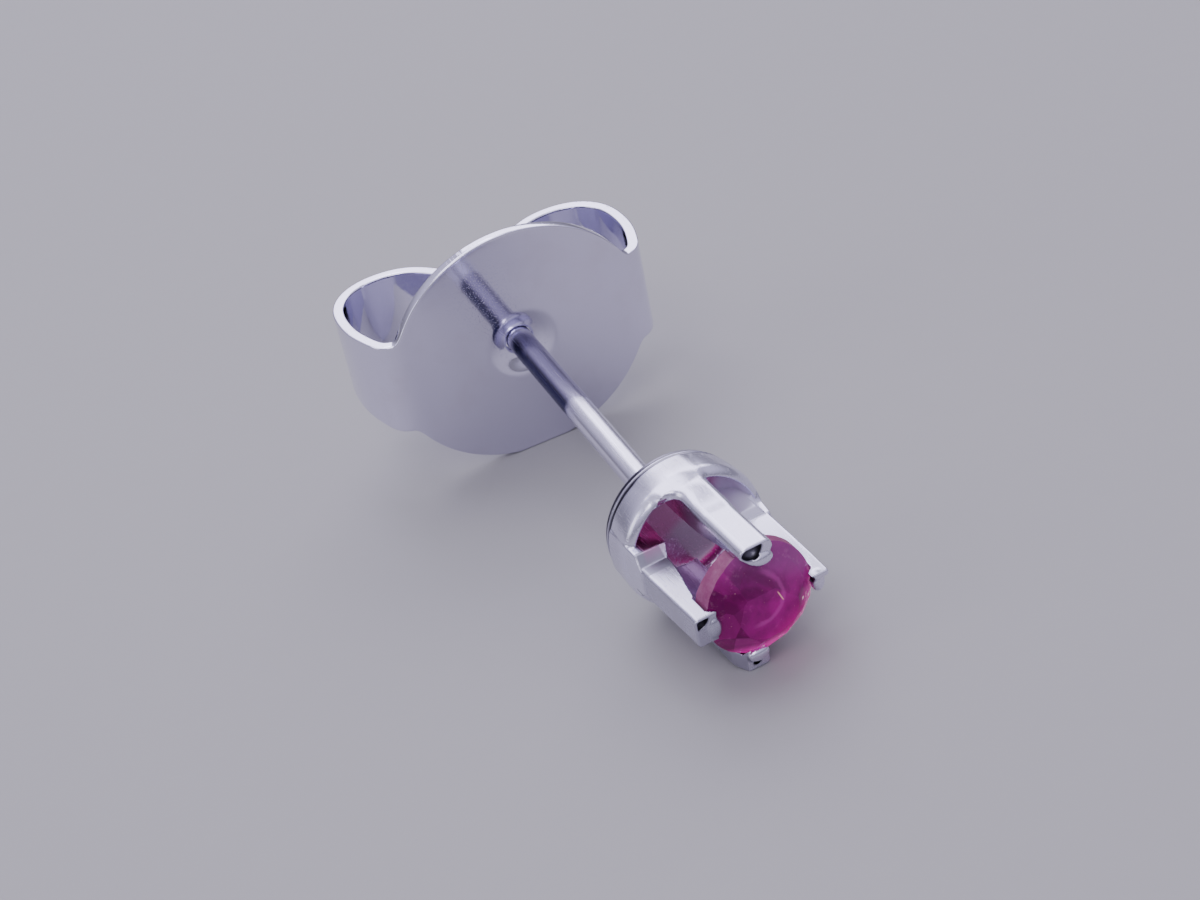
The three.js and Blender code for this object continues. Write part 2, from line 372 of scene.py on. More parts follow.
def ruby_flaws(finish, body, x, z, wisps, marks):
    """Wisps, scratches, a curved feather and one short crack."""
    body = finish.mix(wisps.between(0.60, 0.82) * 0.3, body, WISP)
    body = finish.mix(marks * 0.35, body, SCRATCH)
    sweep = distance(x, z, -0.25, 0.42) + wisps * 0.12
    feather = sweep.between(0.66, 0.74) * sweep.below(0.78, 0.86)
    feather = feather * (x - z * 0.4).between(-0.5, -0.1)
    body = finish.mix(feather * 0.22, body, FEATHER)
    from_crack = (x * 0.937 + z * 0.348 - 0.435).math("ABSOLUTE")
    crack = from_crack.below(0.010, 0.022) * z.between(0.1, 0.2) * z.below(0.4, 0.5)
    return finish.mix(crack * 0.7, body, CRACK)


def ruby_edge(finish, here, body, x, y, z, wisps, glow):
    """The bruised lower edge of the crown, with a painted glow and its chips painted as bright
    glints.
    """
    front = y.below(0.05, 0.35)
    # painted glow along the crown's lower edge
    lower_edge = (x * 0.1 - z).between(0.8, 1.35)
    body = finish.mix(lower_edge * front * 0.7, body, EDGE_GLOW)
    # chips near the rim, painted as glints where the stone glows
    glinting_chips = finish.noise(here, 5.5, detail=3.0, roughness=0.65).between(0.57, 0.65)
    rim = distance(x, z).between(1.05, 1.30)
    body = finish.mix(glinting_chips * rim * front * (glow * 0.97 + 0.03), body, CHIP_GLINT)
    for chip_x, chip_z, size in CHIP_GLINT_SPOTS:
        ragged = distance(x, z, chip_x, chip_z) + wisps * 0.24
        glinting_chip = ragged.below(size + 0.09, size + 0.12) * front
        body = finish.mix(glinting_chip * 0.8, body, BRIGHT_CHIP_GLINT)
    return body


def ruby_crown(name):
    """Raspberry ruby, with cloudy zones, feathers and fine scratches."""
    finish = Finish(name)
    here = finish.local(HEAD_PLACE)
    x, y, z = finish.parts(here)
    # painted glow, strongest towards the lower right
    glow = (x * 0.45 - z * 0.75).between(0.35, 1.35)
    wisps = finish.noise(here, 3.2, detail=6.0, roughness=0.62, distortion=0.9)
    marks = scratches(finish, here, 1.4, 17.0, 0.30)
    body = ruby_depths(finish, here, x, z, glow)
    body = ruby_flaws(finish, body, x, z, wisps, marks)
    body = ruby_edge(finish, here, body, x, y, z, wisps, glow)
    lumps = finish.bump(finish.noise(here, 2.4, detail=2.0), 0.05, 0.30)
    pits = finish.bump(finish.noise(here, 16.0, detail=4.0), 0.008, 0.35, under=lumps)
    return finish.done({
        "Base Color": body,
        "Roughness": wisps * 0.16 + marks * 0.2 + 0.06,
        "Normal": pits,
        "IOR": 1.5,
        "Specular IOR Level": 0.07,
        "Transmission Weight": 0.22,
        "Subsurface Weight": 0.35,
        "Subsurface Radius": (1.0, 0.1, 0.5),
        "Subsurface Scale": 0.6 * MM,
        # painted glow: the stone gives off light in its own colours
        "Emission Color": body,
        "Emission Strength": 0.42,
    })


def ruby_girdle(name):
    """The bruted band round the stone: frosted, dusty pink."""
    finish = Finish(name)
    here = finish.local(HEAD_PLACE)
    clouds = finish.noise(here, 1.6, detail=4.0)
    grain = finish.noise(here, 14.0, detail=5.0, roughness=0.7)
    body = finish.mix(clouds.between(0.35, 0.7), GIRDLE_DUSK, GIRDLE_ROSE)
    body = finish.mix(grain.between(0.5, 0.8) * 0.3, body, GIRDLE_FROST)
    return finish.done({
        "Base Color": body,
        "Roughness": grain * 0.3 + 0.35,
        "Normal": finish.bump(grain, 0.02, 0.5),
        "IOR": 1.76,
        "Specular IOR Level": 0.3,
        "Subsurface Weight": 0.3,
        "Subsurface Radius": (1.0, 0.2, 0.6),
        "Subsurface Scale": 0.4 * MM,
    })


# ---- meshes ----
def piece(
    name, points, faces, place, materials, body, replaced,
    normals=None, face_slots=None, oxide=None,
):
    """One visible piece, drawn in millimetres and set down at its place."""
    mesh = bpy.data.meshes.new(name)
    points = np.asarray(points, float)
    turned = points @ np.array(place.to_3x3()).T + np.array(place.translation)
    mesh.from_pydata(turned.tolist(), [], [tuple(map(int, f)) for f in faces])
    mesh.validate()
    for material in materials:
        mesh.materials.append(material)
    if face_slots is not None:
        mesh.polygons.foreach_set("material_index", face_slots)
    if normals is not None:
        turn = np.array(place.to_3x3()) / MM
        smooth_faces(mesh)
        mesh.normals_split_custom_set_from_vertices((normals @ turn.T).tolist())
    # oxide and painted shade, kept on the mesh for its finish
    if oxide is not None:
        mesh.attributes.new(OXIDE_AND_SHADE, "FLOAT", "POINT").data.foreach_set("value", oxide)
    made = bpy.data.objects.new(name, mesh)
    bpy.context.scene.collection.objects.link(made)
    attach(made, body)
    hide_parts(replaced)
    return made


def smooth_faces(mesh):
    mesh.polygons.foreach_set("use_smooth", [True] * len(mesh.polygons))


def smooth_max(a, b, k):
    """The larger of two, with the corner between them rounded over the width k."""
    share = np.clip(0.5 + 0.5 * (a - b) / k, 0.0, 1.0)
    return b + (a - b) * share + k * share * (1.0 - share)


def smooth_min(a, b, k):
    return -smooth_max(-a, -b, k)


def smooth_step(share):
    share = np.clip(share, 0.0, 1.0)
    return share * share * (3 - 2 * share)


def gradient(field, points, reach=1e-4):
    slopes = []
    for axis in range(3):
        step = np.zeros(3)
        step[axis] = reach
        slopes.append((field(points + step) - field(points - step)) / (2 * reach))
    return np.stack(slopes, -1)


def onto_surface(field, points, rounds=2):
    """Moves points down the field's slope to where it is zero, at most max_move in each round."""
    max_move = 0.05
    for _ in range(rounds):
        slope = gradient(field, points)
        steep = np.maximum((slope**2).sum(-1), 0.05)
        move = (field(points) / steep)[:, None] * slope
        points = points - np.clip(move, -max_move, max_move)
    return points


def cell_points(inside, value, grid, step):
    """One point in each cell that the surface crosses, and which grid edges it crosses."""
    cells = tuple(n - 1 for n in value.shape)
    total = np.zeros(cells + (3,))
    count = np.zeros(cells)
    crossings = []
    for axis in range(3):
        near = [slice(None)] * 3
        far = [slice(None)] * 3
        near[axis] = slice(0, -1)
        far[axis] = slice(1, None)
        near, far = tuple(near), tuple(far)
        crossed = inside[near] != inside[far]
        change = np.where(crossed, value[near] - value[far], 1.0)
        share = np.where(crossed, value[near] / change, 0.0)
        where = grid[near] * 1.0
        where[..., axis] += share * step
        crossings.append(crossed)
        first, second = [i for i in range(3) if i != axis]
        for u in (0, 1):
            for v in (0, 1):
                part = [slice(None)] * 3
                part[first] = slice(u, u + cells[first])
                part[second] = slice(v, v + cells[second])
                part = tuple(part)
                total += where[part] * crossed[part][..., None]
                count += crossed[part]
    used = count > 0
    number = np.full(cells, -1)
    number[used] = np.arange(used.sum())
    return total[used] / count[used][:, None], number, crossings


def net(field, low, high, step):
    """Closed quad mesh where the field is zero: one quad across each crossed edge of the grid."""
    axes = [np.arange(a, b + step, step) for a, b in zip(low, high)]
    size = [len(a) for a in axes]
    grid = np.stack(np.meshgrid(*axes, indexing="ij"), -1)
    value = field(grid.reshape(-1, 3)).reshape(size)
    inside = value < 0
    points, number, crossings = cell_points(inside, value, grid, step)
    faces = []
    for axis in range(3):
        first, second = (axis + 1) % 3, (axis + 2) % 3
        spot = np.argwhere(crossings[axis])
        keep = (spot[:, first] > 0) & (spot[:, second] > 0)
        keep &= (spot[:, first] < size[first] - 1) & (spot[:, second] < size[second] - 1)
        spot = spot[keep]
        ring = []
        for u, v in ((0, 0), (1, 0), (1, 1), (0, 1)):
            corner = spot.copy()
            corner[:, first] -= u
            corner[:, second] -= v
            ring.append(number[tuple(corner.T)])
        quads = np.stack(ring, -1)
        flip = inside[tuple(spot.T)]
        quads[~flip] = quads[~flip][:, ::-1]
        faces.append(quads)
    return points, np.concatenate(faces)


def relaxed(field, points, faces, rounds=3):
    """Evens the mesh out along the surface, then brings every point back onto it."""
    points = onto_surface(field, points)
    ends = np.concatenate([faces[:, [0, 1]], faces[:, [1, 2]], faces[:, [2, 3]], faces[:, [3, 0]]])
    for _ in range(rounds):
        total = np.zeros_like(points)
        count = np.zeros(len(points))
        np.add.at(total, ends[:, 0], points[ends[:, 1]])
        np.add.at(count, ends[:, 0], 1)
        points = points + 0.6 * (total / count[:, None] - points)
        points = onto_surface(field, points, 1)
    points = onto_surface(field, points, 1)
    slope = gradient(field, points)
    return points, slope / np.linalg.norm(slope, axis=1)[:, None]


def sheltered(field, points, normals):
    """0 on open surfaces, up to 1 in dents, grooves and inside corners."""
    reaches = (0.05, 0.10, 0.17)
    hidden = [(reach - field(points + normals * reach)) / reach for reach in reaches]
    return np.clip((sum(hidden) / len(reaches) - 0.30) / 0.45, 0.0, 1.0)


# ---- cup ----
BARREL = 0.14  # how much narrower the cup gets towards its back
RIM_ROUNDING = 0.42
BORE_WIDENING = 0.11  # makes the rim thinner
TURNED_LINES = ((4.20, 0.085), (3.99, 0.080))  # y of each line, half the width of its oxide and painted shade
LINE_WIDTH = 0.07
LINE_DEPTH = 0.03


def bowl_field(r, y):
    """The hollow of the cup, negative inside it."""
    deep = np.maximum(y - CUP_RIM, 0.0) / (BOWL_FLOOR - CUP_RIM)
    bore = BORE_RADIUS + BORE_WIDENING * smooth_step((3.2 - y) / 0.45)
    return (((r / bore) ** 4 + deep**4) ** 0.25 - 1.0) * 1.35


def cup_field(r, y):
    """The cup before it is hollowed."""
    side = r - (CUP_RADIUS - BARREL * ((y - 2.95) / 1.33) ** 2)
    for line, _ in TURNED_LINES:
        side = side + LINE_DEPTH * np.exp(-(((y - line) / LINE_WIDTH) ** 4))
    chamfer = (r - 1.90 + y - 4.26) / math.sqrt(2)
    outside = smooth_max(side, chamfer, 0.03)
    outside = smooth_max(outside, y - CUP_BACK, 0.04)
    return smooth_max(outside, CUP_RIM - y, RIM_ROUNDING)


# ---- claws ----
CLAW_RUN = 2.4  # length over which a claw leans
CLAW_ROOT = 3.9  # the claws end in the cup's wall
FILLET = 0.58  # radius where the top claw runs into the cup on its left
UNFILED = 9.0  # the file passes clear of the claw
CLAW_BACK = (  # y and distance from the axis of the claws' inner faces, with the stone's seat
    (-0.28, 1.36), (-0.14, 1.55), (0.48, 1.55), (0.56, 1.49), (1.5, 1.40), (2.35, 1.34),
    (3.83, 1.28),
)
BEAD = (0.30, 0.19, 0.14)  # half sizes of the metal pressed over the stone: across, out, along
BEAD_PLACE = -0.33
DENT_DEPTH = 0.28
DENT_WALL = 0.06  # metal left round a punch mark


def claw_shape(tip, dent, lip, **own):
    """What the claws share, then what the filer's hand gave to each of them.

    tip: y of its end. dent: middle of the punch mark, across and out, then its half sizes.
    lip: middle of the bead, across and out. half: half the width. lean: outwards, mm per mm.
    sink: slope of its upper side. rounding: of its long edges. inner: added to its inner face at
    the root. taper: of the hook over the stone. root: softness of the foot. flare: half width of
    the block at its foot, outside and inside, None for a rounded foot. filed: where the file cut
    one side of the tip. dark: painted shade on its block, end, sides or wall.
    """
    shape = dict(
        half=CLAW_HALF, lean=0.0, sink=0.0, rounding=0.12, inner=0.0, taper=0.0, root=0.03,
        flare=None, filed=UNFILED, dark={},
    )
    shape.update(tip=tip, dent=dent, lip=lip, **own)
    return shape


# each claw's dark entry gives the painted shade on its areas
TOP_CLAW = claw_shape(
    tip=-0.34, dent=(-0.14, 1.89, 0.31, 0.38), lip=(0.12, 1.40),
    half=0.48, rounding=0.25, inner=-0.16, taper=0.9, root=0.12, dark=dict(wall=0.38),
)
LEFT_CLAW = claw_shape(
    tip=-0.34, dent=(0.42, 1.88, 0.30, 0.36), lip=(0.0, 1.40),
    lean=0.035, inner=-0.10, flare=(0.64, 0.64), dark=dict(block=0.58, end=0.38, high_side=0.2),
)
RIGHT_CLAW = claw_shape(
    tip=-0.48, dent=(0.17, 1.44, 0.09, 0.035), lip=(0.0, 1.62),
    sink=0.12, inner=-0.12, flare=(0.43, 0.60), filed=-0.16,
)
LOWER_CLAW = claw_shape(
    tip=-0.28, dent=(0.05, 1.69, 0.10, 0.07), lip=(0.1, 1.40),
    flare=(0.72, 0.72), filed=0.2, dark=dict(low_side=0.3),
)


def each_claw(x, z):
    """Across and outwards for each claw, with the claw's shape."""
    return (
        (x - TOP_SHIFT, z, TOP_CLAW),
        (z + SIDE_SHIFT, x + RIGHT_SET_IN, RIGHT_CLAW),
        (z - SIDE_SHIFT, -x, LEFT_CLAW),
        (x + LOWER_SHIFT, -z, LOWER_CLAW),
    )


def section_field(across, out, shape):
    """A claw cut across: flat outer face, rounded corners."""
    rounding = shape["rounding"]
    u = np.abs(across) - (shape["half"] - rounding)
    v = out - (CLAW_FACE - rounding)
    return np.hypot(np.maximum(u, 0), np.maximum(v, 0)) + np.minimum(np.maximum(u, v), 0) - rounding


def bar_field(across, out, y, shape):
    """The upright bar of a claw, with its slopes and the cuts of the file."""
    run = np.clip(y, 0.0, CLAW_RUN)
    bar = section_field(across, out - shape["lean"] * run, shape)
    bar = smooth_max(bar, shape["tip"] - y, 0.07)
    if shape["sink"]:
        top = across - shape["half"] + shape["sink"] * (1.6 - y) / 2
        bar = smooth_max(bar, top, 0.06)
    if shape["taper"]:
        hook = smooth_step((0.1 - y) / 0.2) * np.clip(1.64 - out, 0, 0.4)
        side = (np.abs(across) - shape["half"] + shape["taper"] * hook) / 1.3
        bar = smooth_max(bar, side, 0.06)
    file = (-across - shape["filed"] - 0.55 * (y - shape["tip"])) / 1.14
    return smooth_max(bar, file, 0.05)


def rounded_foot(across, out, r, y):
    """The top claw's foot: it follows the cup and runs into it in a wide curve on its left."""
    rise = np.clip((y - 1.5) / 1.25, 0.0, 1.15)
    follow = smooth_step((y - 1.7) / 1.0)
    face = (out - CLAW_FACE + 0.04) * (1 - follow) + (r - CUP_RADIUS + 0.06) * follow
    bend = np.clip(y - CUP_RIM - 0.03 + FILLET, 0.0, FILLET)
    fillet = (FILLET - np.sqrt(FILLET**2 - bend**2)) * smooth_step((r - 1.70) / 0.12)
    side = np.where(across < 0, -across - 0.37 - fillet, across - 0.43 - 0.02 * rise**2)
    foot = smooth_max(side, face, 0.24)
    return smooth_max(foot, 1.3 - y, 0.5)


def block_foot(across, out, r, y, shape):
    """The square block under a claw, sloped towards the claw on both sides."""
    wide = np.abs(across)
    facet = ((wide - CLAW_HALF) * 1.3 - (y - 2.28)) / 1.64
    outer, inner = shape["flare"]
    widened = np.maximum(smooth_step((1.78 - r) / 0.10), smooth_step((y - 2.75) / 0.2))
    half = outer + (inner - outer) * widened
    block = smooth_max(wide - half, facet, 0.03)
    face = CLAW_FACE + shape["lean"] * CLAW_RUN + 0.12 * (y - 2.0)
    front = out - np.clip(face, CLAW_FACE, 2.0)
    return smooth_max(smooth_max(block, front, 0.06), 2.0 - y, 0.05)


def claw_field(across, out, r, y, shape):
    """One claw: across it, outwards from the axis, and the radius and height in the cup."""
    bar = bar_field(across, out, y, shape)
    if shape["flare"]:
        foot = block_foot(across, out, r, y, shape)
    else:
        foot = rounded_foot(across, out, r, y)
    claw = smooth_min(bar, foot, shape["root"])
    inner = np.interp(y, [p[0] for p in CLAW_BACK], [p[1] for p in CLAW_BACK])
    inner = inner + shape["inner"] * smooth_step((y - 0.56) / 1.4)
    claw = smooth_max(claw, inner - r, 0.03)
    claw = smooth_max(claw, y - CLAW_ROOT, 0.05)
    claw = smooth_max(claw, r - 2.03, 0.05)
    return smooth_max(claw, 0.2 - out, 0.05)


def ellipsoid(offsets, radii):
    parts = [(offset / radius) ** 2 for offset, radius in zip(offsets, radii)]
    return (np.sqrt(sum(parts)) - 1) * min(radii)


def bead_field(across, out, y, shape):
    """Metal pressed over the stone's edge at the end of a claw."""
    side, height = shape["lip"]
    return ellipsoid((across - side, out - height, y - BEAD_PLACE), BEAD)


def dent_field(across, out, y, shape):
    """The setter's punch mark in the end face."""
    side, height, width, tall = shape["dent"]
    offsets = (across - side, out - height, y - shape["tip"])
    punched = ellipsoid(offsets, (width, tall, DENT_DEPTH))
    return smooth_max(punched, section_field(across, out, shape) + DENT_WALL, 0.02)


def head_field(points):
    """Cup and claws together, negative inside the metal."""
    x, y, z = points.T
    r = np.hypot(x, z)
    head = cup_field(r, y)
    standing = None
    for across, out, shape in each_claw(x, z):
        bead = bead_field(across, out, y, shape)
        claw = smooth_min(claw_field(across, out, r, y, shape), bead, 0.05)
        claw = smooth_max(claw, -dent_field(across, out, y, shape), 0.025)
        head = smooth_min(head, claw, 0.03 + shape["root"])
        standing = claw if standing is None else np.minimum(standing, claw)
    hollow = smooth_max(head, -bowl_field(r, y), 0.05)
    return np.minimum(hollow, standing)


# ---- oxide and painted shade on the head ----
SHADE_ON_LEFT_FACES = 0.28  # painted shade on what faces left
SHADE_AT_BACK = 0.1  # painted shade on the back of the cup's outside


def claw_oxide_and_shade(across, out, r, y, shape):
    """Oxide in one claw's punch mark, and painted shade on its own shaded areas."""
    standing = out > 1.2
    wall = smooth_step((-across - 0.36) / 0.06) * smooth_step((1.72 - out) / 0.12)
    # areas of a claw that get painted shade
    areas = dict(
        block=(np.abs(across) > 0.40) & (y > 1.9) & (y < 2.62) & (r < 2.02) & standing,
        end=(y < shape["tip"] + 0.08) & standing,
        low_side=(across < -0.36) & (y < 2.2) & standing,
        high_side=(across > 0.36) & (y < 2.2) & standing,
        wall=wall * smooth_step((y - 0.3) / 0.4) * smooth_step((2.9 - y) / 0.2) * (out > 1.0),
    )
    dent = np.clip(1 - np.abs(dent_field(across, out, y, shape)) / 0.03, 0, 1)
    oxide = dent * (out > 0.5) * (y < 0.2)
    for area, dark in shape["dark"].items():
        oxide = np.maximum(oxide, dark * areas[area])
    return oxide


def cup_oxide_and_shade(x, y, z, r):
    """Oxide in the turned lines, with painted shade making them darkest at the upper left, and a
    little painted shade on the back of the cup's outside, most on top.
    """
    # painted shade: the turned lines darken towards the upper left
    upper_left = 0.5 + 0.5 * (0.7 * z - 0.7 * x) / np.maximum(r, 0.5)
    lines = sum(np.exp(-(((y - line) / width) ** 6)) for line, width in TURNED_LINES)
    lines = lines * smooth_step((r - 1.7) / 0.1) * (0.15 + 0.85 * upper_left**3)
    shaded_back = smooth_step((y - 3.1) / 0.4) * smooth_step((r - 1.85) / 0.05)
    return np.maximum(lines, SHADE_AT_BACK * shaded_back * (1 + smooth_step((z - 0.9) / 0.5)))


def head_oxide_and_shade(points, normals):
    """Oxide in the dents, oxide and painted shade in the turned lines at the cup's back, darker in
    the sheltered corners, and painted shade on what faces left and on the claws' shaded areas.
    """
    x, y, z = points.T
    r = np.hypot(x, z)
    in_bowl = smooth_step((1.93 - r) / 0.06) * smooth_step((y - 2.0) / 0.4)
    # darker where the surface is sheltered
    oxide = sheltered(head_field, points, normals) * (1 - 0.9 * in_bowl)
    oxide = np.maximum(oxide, cup_oxide_and_shade(x, y, z, r))
    for across, out, shape in each_claw(x, z):
        oxide = np.maximum(oxide, claw_oxide_and_shade(across, out, r, y, shape))
    # painted shade on faces turned to the left, low down on the claws
    left_face_shade = smooth_step((-normals[:, 0] - 0.55) / 0.3) * smooth_step((2.3 - y) / 0.3)
    return np.clip(np.maximum(oxide, SHADE_ON_LEFT_FACES * left_face_shade), 0, 1)


def build_cup():
    low = (-2.22, -0.5, -2.22)
    high = (2.22, 4.56, 2.22)
    step = 0.036
    points, faces = net(head_field, low, high, step)
    points, normals = relaxed(head_field, points, faces)
    # oxide and painted shade for each point of the head
    oxide = head_oxide_and_shade(points, normals)
    piece(
        "claw_cup", points, faces, HEAD_PLACE, [cup_silver("cup_silver")], "setting",
        "claw_setting", normals, oxide=oxide,
    )


# ---- post ----
POST_FOOT = (  # radius and y behind the cup's back: the foot, flared by its solder
    (0, -0.3), (0.3, -0.3), (0.6, -0.28), (0.6, -0.02), (0.56, 0.04), (0.45, 0.10), (0.40, 0.24),
    (POST_RADIUS, 0.36), (POST_RADIUS, 0.6),
)
NOTCH = 1.25  # middle of the friction notch, from the post's end
NOTCH_DEPTH = 0.05


def lathe(profile, sides):
    """Closed body of revolution about Y from [radius, y] pairs, both ends on the axis."""
    angles = np.linspace(0, 2 * math.pi, sides, endpoint=False)
    across, up = np.cos(angles), np.sin(angles)
    rings = [np.stack([r * across, np.full(sides, y), r * up], -1) for r, y in profile[1:-1]]
    points = np.concatenate([[[0, profile[0][1], 0]], *rings, [[0, profile[-1][1], 0]]])
    faces = []
    last = len(points) - 1
    for i in range(sides):
        j = (i + 1) % sides
        faces.append((0, 1 + i, 1 + j))
        for k in range(len(rings) - 1):
            a = 1 + k * sides
            b = a + sides
            faces.append((a + i, b + i, b + j, a + j))
        a = last - sides
        faces.append((a + i, last, a + j))
    return points, faces


def smooth_profile(corners, steps):
    """Rounds a profile's corners: each is replaced by a short parabola between its midpoints."""
    corners = np.array(corners, float)
    middles = (corners[:-1] + corners[1:]) / 2
    profile = [corners[0]]
    for i in range(1, len(corners) - 1):
        for t in np.linspace(0, 1, steps, endpoint=i == len(corners) - 2):
            a, b = middles[i - 1], middles[i]
            profile.append((1 - t) ** 2 * a + 2 * t * (1 - t) * corners[i] + t**2 * b)
    profile.append(corners[-1])
    return [tuple(p) for p in profile]


def build_post():
    notch = POST_END - NOTCH
    foot = [(radius, CUP_BACK + y) for radius, y in POST_FOOT]
    shaft = [(POST_RADIUS, 8.0), (POST_RADIUS, 12.0)]
    notched = [
        (POST_RADIUS, notch - 0.45), (POST_RADIUS, notch - 0.3),
        (POST_RADIUS - NOTCH_DEPTH, notch - 0.15), (POST_RADIUS - NOTCH_DEPTH, notch + 0.15),
        (POST_RADIUS, notch + 0.3), (POST_RADIUS, notch + 0.45),
    ]
    end = [
        (POST_RADIUS, POST_END - 0.5), (POST_RADIUS, POST_END - 0.12),
        (POST_RADIUS - 0.06, POST_END), (0.15, POST_END), (0, POST_END),
    ]
    points, faces = lathe(smooth_profile(foot + shaft + notched + end, 6), 96)
    silver = post_silver("post_silver")
    made = piece(
        "ear_post", points, faces, POST_PLACE, [silver], "setting", "claw_setting"
    )
    smooth_faces(made.data)


# ---- ruby ----
STONE_RADIUS = 1.53
STONE_SHIFT = 0.03
TABLE = -0.615  # y of the table
GIRDLE_BACK = 0.44
CULET = 1.5
THIN_SIDE = math.radians(62)  # towards the upper right the crown was cut deeper
THIN_SIDE_CUT = 0.27
CROWN_MAINS = 36.0  # slope of the crown's main facets
FACETS = (  # number, turn in steps, slope in degrees, radius and y of a point on it
    (8, 0.0, CROWN_MAINS, 1.53, -0.13),
    (16, 0.5, 43.0, 1.53, -0.10),
    (8, 0.5, 20.0, 0.84, -0.612),
    (8, 0.0, -43.0, 1.51, GIRDLE_BACK),
    (16, 0.5, -47.0, 1.53, GIRDLE_BACK),
)


def cut_facet(work, spot, normal):
    """Cuts the stone off at a plane and closes the cut."""
    everything = work.verts[:] + work.edges[:] + work.faces[:]
    cut = bmesh.ops.bisect_plane(
        work, geom=everything, plane_co=spot, plane_no=normal, clear_outer=True, dist=1e-5
    )
    edges = [e for e in cut["geom_cut"] if isinstance(e, bmesh.types.BMEdge)]
    if len(edges) > 2:
        bmesh.ops.contextual_create(work, geom=edges)


def blunt_edges(work):
    """Wears the edges between the facets, and merges what lies closer than the wear."""
    bmesh.ops.remove_doubles(work, verts=work.verts, dist=0.004)
    sharp = [e for e in work.edges if len(e.link_faces) == 2 and e.calc_face_angle() > 0.12]
    bmesh.ops.bevel(
        work, geom=sharp, offset=0.012, offset_type="OFFSET", segments=2,
        profile=0.5, affect="EDGES", clamp_overlap=True,
    )
    bmesh.ops.remove_doubles(work, verts=work.verts, dist=0.0015)
    bmesh.ops.dissolve_degenerate(work, edges=work.edges, dist=0.0005)
    bmesh.ops.recalc_face_normals(work, faces=work.faces)


def build_ruby():
    """Cut as a stone is: a round blank, then one facet after another, each a little off by hand."""
    chance = np.random.default_rng(5)
    work = bmesh.new()
    middle = Matrix.Translation((STONE_SHIFT, (TABLE + CULET) / 2, 0))
    bmesh.ops.create_cone(
        work, cap_ends=True, segments=72, radius1=STONE_RADIUS, radius2=STONE_RADIUS,
        depth=CULET - TABLE, matrix=middle @ Matrix.Rotation(math.radians(90), 4, "X"),
    )
    for number, turn, slope, radius, y in FACETS:
        for i in range(number):
            angle = 2 * math.pi * (i + turn) / number + math.radians(chance.uniform(-3.5, 3.5))
            lean = math.radians(slope + chance.uniform(-1.5, 1.5))
            deep = chance.uniform(0.0, 0.025)
            if slope >= CROWN_MAINS:  # the crown's facets beside the girdle
                deep += THIN_SIDE_CUT * max(0.0, math.cos(angle - THIN_SIDE)) ** 2
            out = Vector((math.cos(angle), 0, math.sin(angle)))
            normal = out * abs(math.sin(lean)) - Vector((0, math.cos(lean) * np.sign(slope), 0))
            cut_facet(work, out * (radius - deep) + Vector((STONE_SHIFT, y, 0)), normal)
    blunt_edges(work)
    work.verts.index_update()
    points = [v.co[:] for v in work.verts]
    faces = [[v.index for v in f.verts] for f in work.faces]
    band = [int(abs(f.normal.y) < 0.3) for f in work.faces]
    work.free()
    finishes = [ruby_crown("raspberry_ruby"), ruby_girdle("frosted_girdle")]
    piece(
        "ruby", points, faces, HEAD_PLACE, finishes, "setting", "ruby_stone",
        face_slots=band,
    )


# ---- butterfly back ----
SCROLL = (  # middle of the strip: distance from the post, distance behind the plate's middle
    (3.1, 0), (3.6, 0.02), (3.98, 0.22), (4.24, 0.78), (4.42, 1.5), (4.46, 2.4), (4.3, 3.2),
    (3.85, 3.81), (3.2, 4.105), (2.5, 4.105), (1.85, 3.85), (1.22, 3.2), (0.8, 2.45), (0.61, 1.8),
    (0.64, 1.42), (0.9, 1.1),
)
PLATE_MIDDLE = PLATE_FRONT + 0.17
WING_ROOT = 1.5  # half height of the tongue where it leaves the plate
WING_END = 1.25
WING_DEPTH = 4.3
EDGE_ROUNDING = 0.09
EDGE_FLATNESS = 0.36  # below 1 the edge of the strip is flatter than a half circle
EYE = 1.3  # half side of the square round the hole that is meshed in rings
EYE_ROWS = 22
OUTER_ROWS = 16
EDGE_POINTS = 9
FACE_POINTS = EYE_ROWS + 2 * OUTER_ROWS + 1
EYE_LOW = OUTER_ROWS
EYE_HIGH = OUTER_ROWS + EYE_ROWS
RINGS = 16
FUNNEL_RADIUS = 1.12
FUNNEL_DEPTH = 0.28


def spline(knots, samples):
    """Natural cubic spline through the knots, sampled evenly along its length."""
    knots = np.array(knots, float)
    t = np.concatenate([[0], np.cumsum(np.linalg.norm(np.diff(knots, axis=0), axis=1) ** 0.5)])
    h = np.diff(t)
    n = len(knots)
    system = np.eye(n)
    right = np.zeros((n, 2))
    for i in range(1, n - 1):
        system[i, i - 1 : i + 2] = h[i - 1], 2 * (h[i - 1] + h[i]), h[i]
        right[i] = 6 * ((knots[i + 1] - knots[i]) / h[i] - (knots[i] - knots[i - 1]) / h[i - 1])
    bend = np.linalg.solve(system, right)
    at = np.linspace(0, t[-1], 3000)
    i = np.clip(np.searchsorted(t, at) - 1, 0, n - 2)
    a = ((t[i + 1] - at) / h[i])[:, None]
    b = ((at - t[i]) / h[i])[:, None]
    fine = a * knots[i] + b * knots[i + 1]
    fine += ((a**3 - a) * bend[i] + (b**3 - b) * bend[i + 1]) * (h[i] ** 2)[:, None] / 6
    length = np.concatenate([[0], np.cumsum(np.linalg.norm(np.diff(fine, axis=0), axis=1))])
    even = np.linspace(0, length[-1], samples)
    return np.stack([np.interp(even, length, fine[:, k]) for k in (0, 1)], -1), length[-1]


def half_height(s, depth):
    """Half height of the blank at a distance from its middle: the oval, then the tongue."""
    oval = PLATE_HALF_HEIGHT * np.sqrt(np.maximum(1 - (s / PLATE_HALF_WIDTH) ** 2, 0.0))
    tongue = WING_ROOT + (WING_END - WING_ROOT) * np.clip(depth / WING_DEPTH, 0, 1)
    return smooth_max(oval, tongue, 0.28)


